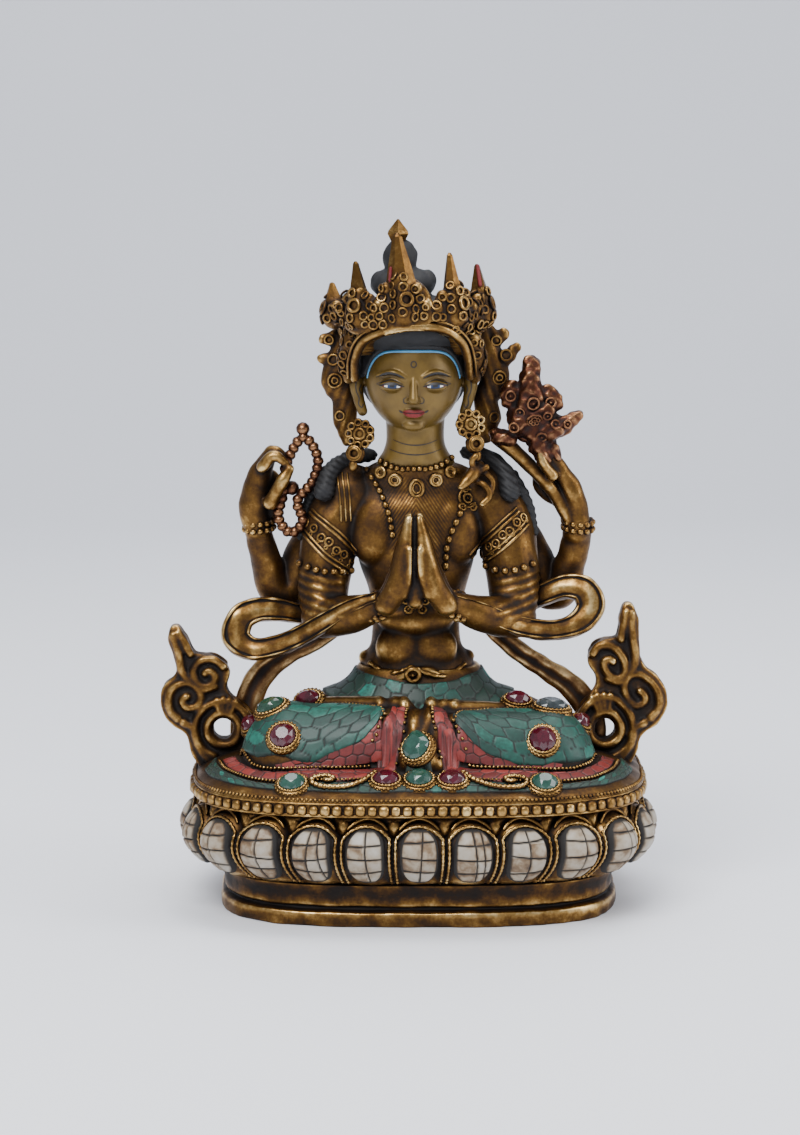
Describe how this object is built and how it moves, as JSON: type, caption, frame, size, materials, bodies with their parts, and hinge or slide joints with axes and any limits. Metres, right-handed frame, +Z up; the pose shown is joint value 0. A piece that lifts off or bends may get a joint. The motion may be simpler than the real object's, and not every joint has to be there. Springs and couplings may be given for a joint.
{
  "type": "avalokiteshvara statue",
  "caption": "Seated four-armed Avalokiteshvara figure in cast copper alloy, crowned, with mosaic cloth and set stones, on a separate lotus pedestal.",
  "frame": {"origin": "middle of the pedestal's flat underside", "axes": "+Z up along the figure's height, -Y the way the figure faces, +X to the figure's left hand side, which is the viewer's right"},
  "size_m": [0.1495, 0.1004, 0.1999],
  "materials": {
    "gilt_copper": "cast, gilt and worn bright on the ridges, dark patina in the hollows",
    "turquoise": "polished stone mosaic with dark cement joints",
    "coral": "polished red tiles with dark cement joints",
    "bone": "polished bone tiles, stained brown at the joints",
    "ruby": "cut and polished",
    "emerald": "cut and polished"
  },
  "bodies": {
    "root": {"lotus_pedestal": "gilt_copper", "figure": "gilt_copper", "crown": "gilt_copper", "bone_inlay_01": "bone", "bone_inlay_02": "bone", "bone_inlay_03": "bone", "bone_inlay_04": "bone", "bone_inlay_05": "bone", "bone_inlay_06": "bone", "bone_inlay_07": "bone", "bone_inlay_08": "bone", "bone_inlay_09": "bone", "bone_inlay_10": "bone", "bone_inlay_11": "bone", "bone_inlay_12": "bone", "bone_inlay_13": "bone", "emerald_knee_left": "emerald", "ruby_oval_left": "ruby", "ruby_round_left": "ruby", "ruby_side_left": "ruby", "ruby_oval_right": "ruby", "emerald_knee_right": "emerald", "ruby_round_right": "ruby", "ruby_side_right": "ruby", "emerald_drop": "emerald", "emerald_centre": "emerald", "ruby_front_left": "ruby", "ruby_front_right": "ruby", "emerald_front_left": "emerald", "emerald_front_right": "emerald", "turquoise_deck_side_left": "turquoise", "turquoise_deck_side_right": "turquoise", "turquoise_deck_front_left": "turquoise", "turquoise_deck_front_right": "turquoise", "turquoise_knee_left": "turquoise", "turquoise_knee_right": "turquoise", "coral_band_left": "coral", "coral_band_right": "coral", "turquoise_waist": "turquoise"}
  },
  "joints": []
}
